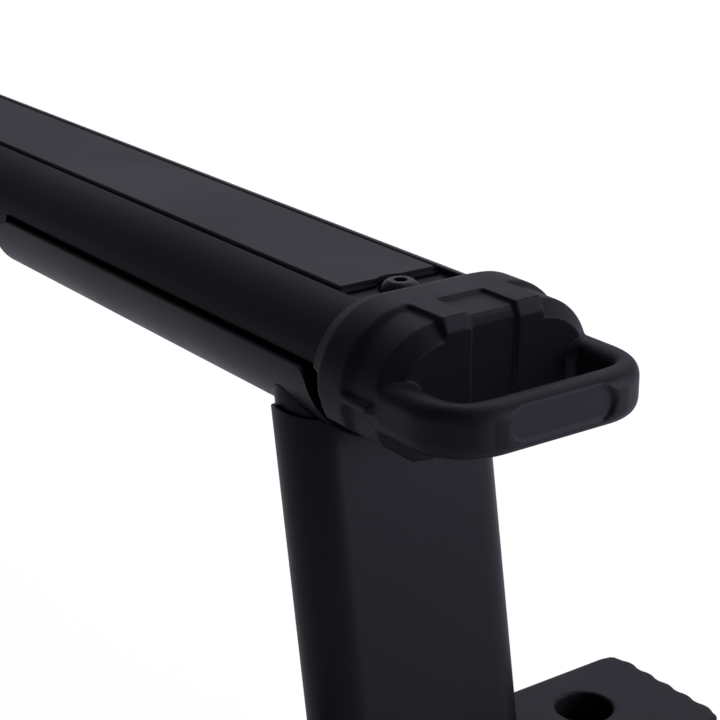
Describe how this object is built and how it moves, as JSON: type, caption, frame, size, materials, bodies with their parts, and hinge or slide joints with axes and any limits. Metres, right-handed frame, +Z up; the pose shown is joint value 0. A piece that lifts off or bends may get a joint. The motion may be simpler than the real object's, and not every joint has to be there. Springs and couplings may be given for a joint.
{
  "type": "pair of roof cross bars",
  "caption": "Roof cross bars with oval black extrusions, cover strips, half-round saddles on splayed flat-oval legs, long feet and moulded end caps with a tie-down loop.",
  "frame": {"origin": "on the mounting surface under the pads, midway between the two bars and halfway along them", "axes": "+X along the bars to the vehicle's right, +Y from the rear bar to the front bar, +Z up"},
  "size_m": [1.249, 1.036, 0.214],
  "materials": {
    "bar_anodised": "satin black anodised",
    "strip_anodised": "fine matt black anodised",
    "moulded_cap": "matt moulded with a fine grain",
    "moulded_foot": "matt moulded with a fine grain",
    "powder_coat": "fine black powder coat",
    "black_screw": "black oxide",
    "zinc_plate": "zinc plated",
    "liner_rubber": "matt",
    "pad_rubber": "matt"
  },
  "bodies": {
    "root": {"front_bar": "bar_anodised", "front_cover_strip": "strip_anodised", "rear_bar": "bar_anodised", "rear_cover_strip": "strip_anodised", "front_right_end_cap": "moulded_cap", "front_right_cap_screws": "black_screw", "front_right_end_screw": "black_screw", "front_right_nut_plate": "zinc_plate", "front_right_saddle": "powder_coat", "front_right_saddle_liner": "liner_rubber", "front_right_saddle_bolts": "black_screw", "front_right_clamp_plate": "zinc_plate", "front_right_leg": "powder_coat", "front_right_base_plate": "powder_coat", "front_right_foot_cover": "moulded_foot", "front_right_foot_pad": "pad_rubber", "front_left_end_cap": "moulded_cap", "front_left_cap_screws": "black_screw", "front_left_end_screw": "black_screw", "front_left_nut_plate": "zinc_plate", "front_left_saddle": "powder_coat", "front_left_saddle_liner": "liner_rubber", "front_left_saddle_bolts": "black_screw", "front_left_clamp_plate": "zinc_plate", "front_left_leg": "powder_coat", "front_left_base_plate": "powder_coat", "front_left_foot_cover": "moulded_foot", "front_left_foot_pad": "pad_rubber", "rear_right_end_cap": "moulded_cap", "rear_right_cap_screws": "black_screw", "rear_right_end_screw": "black_screw", "rear_right_nut_plate": "zinc_plate", "rear_right_saddle": "powder_coat", "rear_right_saddle_liner": "liner_rubber", "rear_right_saddle_bolts": "black_screw", "rear_right_clamp_plate": "zinc_plate", "rear_right_leg": "powder_coat", "rear_right_base_plate": "powder_coat", "rear_right_foot_cover": "moulded_foot", "rear_right_foot_pad": "pad_rubber", "rear_left_end_cap": "moulded_cap", "rear_left_cap_screws": "black_screw", "rear_left_end_screw": "black_screw", "rear_left_nut_plate": "zinc_plate", "rear_left_saddle": "powder_coat", "rear_left_saddle_liner": "liner_rubber", "rear_left_saddle_bolts": "black_screw", "rear_left_clamp_plate": "zinc_plate", "rear_left_leg": "powder_coat", "rear_left_base_plate": "powder_coat", "rear_left_foot_cover": "moulded_foot", "rear_left_foot_pad": "pad_rubber"}
  },
  "joints": []
}
